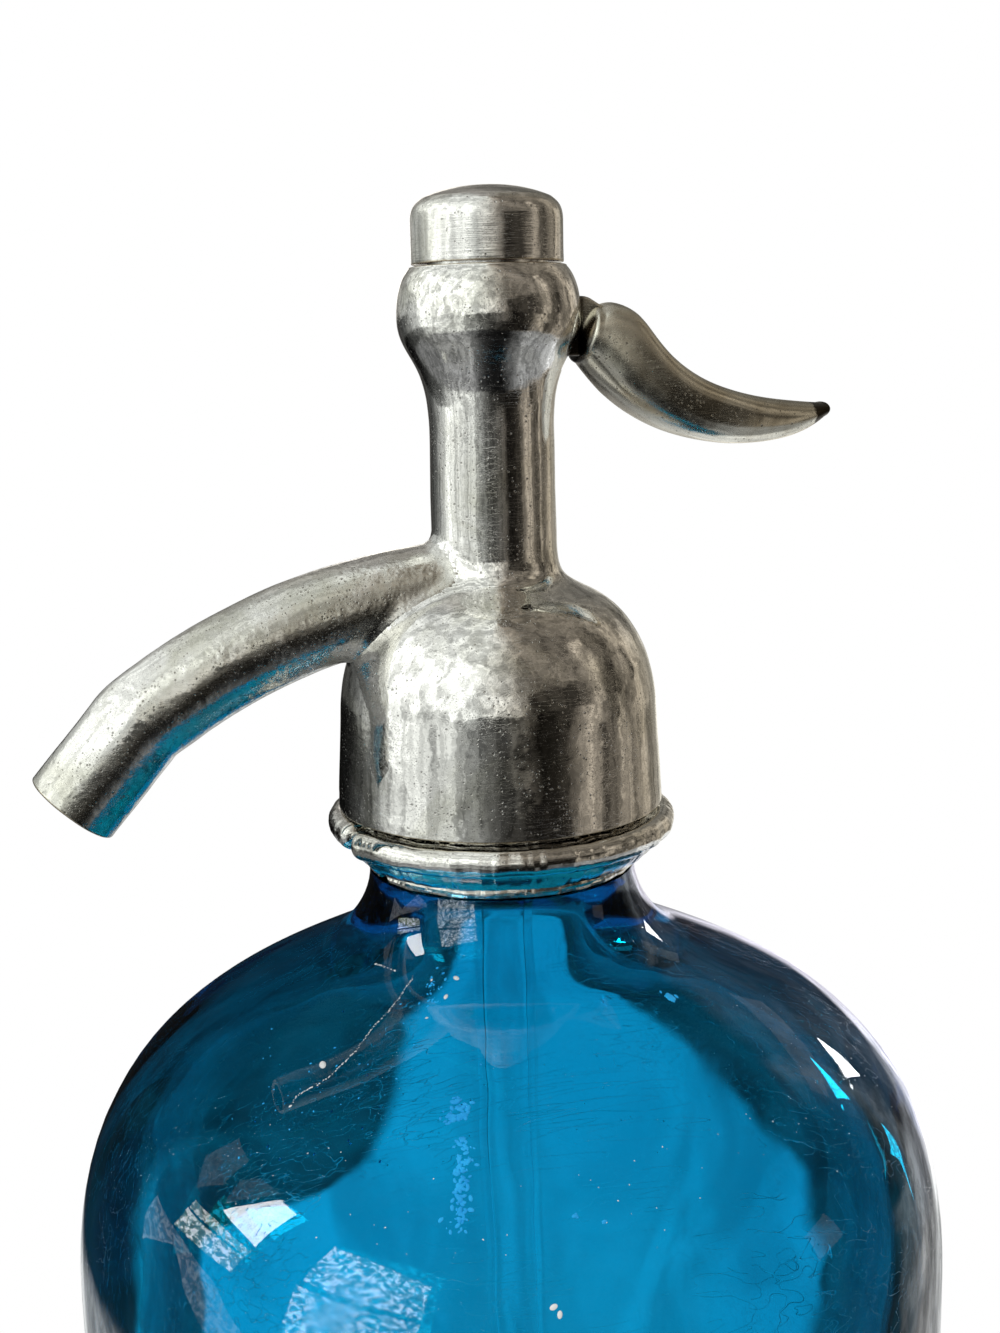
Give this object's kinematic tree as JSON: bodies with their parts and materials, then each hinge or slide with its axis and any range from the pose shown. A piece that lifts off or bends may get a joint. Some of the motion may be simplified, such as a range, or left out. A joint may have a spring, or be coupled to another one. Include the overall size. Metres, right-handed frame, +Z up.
{
  "type": "soda siphon",
  "caption": "Free-standing soda siphon: thick blue-green glass bottle, plated head with a curved spout, and a sprung thumb lever that lifts the valve stem.",
  "frame": {"origin": "on the bottle's axis, in the plane that its foot ring stands on", "axes": "+Z up along the bottle, -X towards the spout's mouth, +X towards the lever's tip"},
  "size_m": [0.1132, 0.112, 0.3059],
  "materials": {
    "blue_glass": "thick, clear, polished",
    "clear_glass": "clear tube",
    "worn_plating": "worn, pitted and brushed",
    "lever_metal": "dull, dark where the plating has gone",
    "brass": "turned",
    "spring_steel": "drawn wire and plate",
    "black_rubber": "matt",
    "red_rubber": "matt"
  },
  "bodies": {
    "siphon": {"glass_bottle": "blue_glass", "dip_tube": "clear_glass", "tube_bush": "red_rubber", "tube_holder": "brass", "mouth_gasket": "black_rubber", "collar_half_front": "worn_plating", "collar_half_back": "worn_plating", "head_body": "worn_plating", "spout": "worn_plating", "lever_pin": "spring_steel", "stem_packing": "black_rubber", "packing_nut": "brass", "cap": "worn_plating", "cap_gasket": "red_rubber", "return_spring": "spring_steel"},
    "lever": {"lever": "lever_metal"},
    "stem": {"valve_stem": "brass", "lift_collar": "brass", "spring_washer": "spring_steel", "valve_foot": "brass", "valve_washer": "black_rubber", "washer_screw": "brass"}
  },
  "joints": [
    {"name": "lever_press", "type": "hinge", "parent": "siphon", "child": "lever", "pos_m": [0.0082, 0, 0.2891], "axis": [0, 1, 0], "range_deg": [0, 14], "stiffness_Nm_per_rad": 0.2, "springref_deg": -28.65},
    {"name": "valve_lift", "type": "slide", "parent": "siphon", "child": "stem", "axis": [0, 0, 1], "range_m": [0, 0.00205], "deforming": ["return_spring"]}
  ],
  "couplings": [
    {"joint": "valve_lift", "follows": "lever_press", "m_per_rad": 0.0082}
  ]
}
